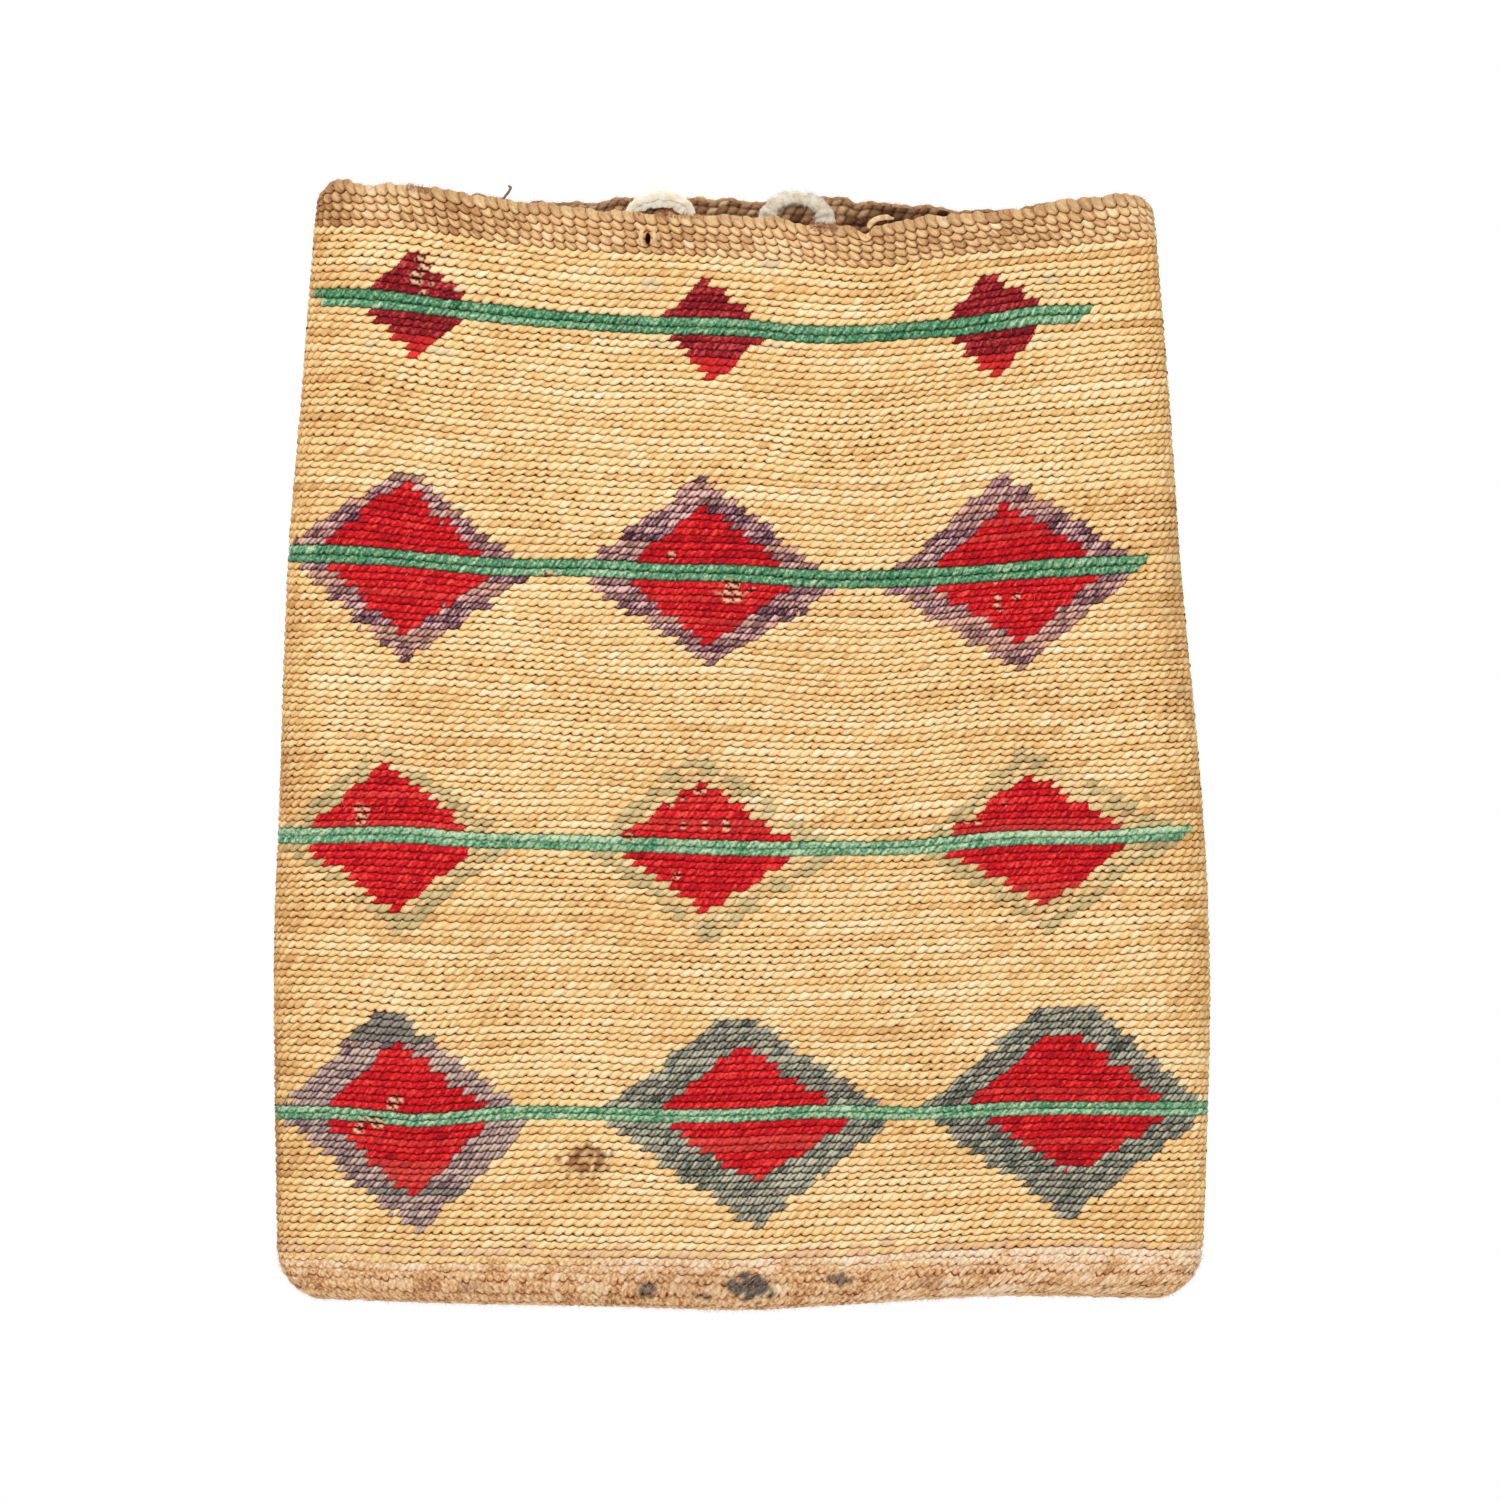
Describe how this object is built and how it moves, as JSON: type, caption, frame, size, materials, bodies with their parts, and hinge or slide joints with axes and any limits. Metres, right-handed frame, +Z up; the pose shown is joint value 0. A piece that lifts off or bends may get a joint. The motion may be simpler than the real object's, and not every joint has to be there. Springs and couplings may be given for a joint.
{
  "type": "corn husk bag",
  "caption": "Flat twined bag with a false-embroidered front of stepped diamonds and stripes, open at the top and hung by two hide loops.",
  "frame": {"origin": "midway between the crowns of the two hide loops, in the plane in which the loops stand", "axes": "+X to the right as seen from the front, +Y towards the back, +Z up; the patterned front faces -Y"},
  "size_m": [0.2568, 0.0197, 0.3072],
  "materials": {
    "hemp": "dark brown twined hemp",
    "husk": "golden corn husk in slanted rope-like stitches",
    "husk_rim": "tan plain twining in scale-like stitches",
    "hemp_foot": "fuzzy pinkish-brown plain twining",
    "wool_green": "variegated green wool",
    "wool_maroon": "dark maroon wool",
    "wool_red": "bright red wool",
    "wool_purple": "faded purple-grey wool",
    "wool_olive": "pale olive wool",
    "wool_slate": "slate-grey wool",
    "hide": "pale smoked hide with a soft nap"
  },
  "bodies": {
    "bag": {"twined_shell": "hemp", "rim_band": "husk_rim", "bottom_band": "hemp_foot", "husk_back": "husk", "husk_field_top": "husk", "husk_field_upper": "husk", "husk_field_middle": "husk", "husk_field_lower": "husk", "husk_field_bottom": "husk", "green_stripe_1": "wool_green", "green_stripe_2": "wool_green", "green_stripe_3": "wool_green", "green_stripe_4": "wool_green", "diamond_row1_left_upper": "wool_maroon", "diamond_row1_left_lower": "wool_red", "diamond_row1_middle_upper": "wool_maroon", "diamond_row1_middle_lower": "wool_red", "diamond_row1_right_upper": "wool_maroon", "diamond_row1_right_lower": "wool_red", "diamond_row2_left_upper": "wool_red", "diamond_row2_left_lower": "wool_red", "diamond_row2_middle_upper": "wool_red", "diamond_row2_middle_lower": "wool_red", "diamond_row2_right_upper": "wool_red", "diamond_row2_right_lower": "wool_red", "diamond_row3_left_upper": "wool_red", "diamond_row3_left_lower": "wool_red", "diamond_row3_middle_upper": "wool_red", "diamond_row3_middle_lower": "wool_red", "diamond_row3_right_upper": "wool_red", "diamond_row3_right_lower": "wool_red", "diamond_row4_left_upper": "wool_red", "diamond_row4_left_lower": "wool_red", "diamond_row4_middle_upper": "wool_red", "diamond_row4_middle_lower": "wool_red", "diamond_row4_right_upper": "wool_red", "diamond_row4_right_lower": "wool_red", "border_row2_left_upper": "wool_purple", "border_row2_left_lower": "wool_purple", "border_row2_middle_upper": "wool_purple", "border_row2_middle_lower": "wool_purple", "border_row2_right_upper": "wool_purple", "border_row2_right_lower": "wool_purple", "border_row3_left_upper": "wool_olive", "border_row3_left_lower": "wool_olive", "border_row3_middle_upper": "wool_olive", "border_row3_middle_lower": "wool_olive", "border_row3_right_upper": "wool_olive", "border_row3_right_lower": "wool_olive", "border_row4_left_upper": "wool_slate", "border_row4_left_lower": "wool_slate", "border_row4_middle_upper": "wool_slate", "border_row4_middle_lower": "wool_slate", "border_row4_right_upper": "wool_slate", "border_row4_right_lower": "wool_slate", "thong_tie_left": "hide", "thong_tie_right": "hide"},
    "loop_left": {"thong_loop_left": "hide"},
    "loop_right": {"thong_loop_right": "hide"}
  },
  "joints": [
    {"name": "left_loop_swing", "type": "hinge", "parent": "bag", "child": "loop_left", "pos_m": [-0.0185, 0, -0.01], "axis": [1, 0, 0], "range_deg": [0, 45]},
    {"name": "right_loop_swing", "type": "hinge", "parent": "bag", "child": "loop_right", "pos_m": [0.0185, 0, -0.01], "axis": [1, 0, 0], "range_deg": [0, 56]}
  ]
}
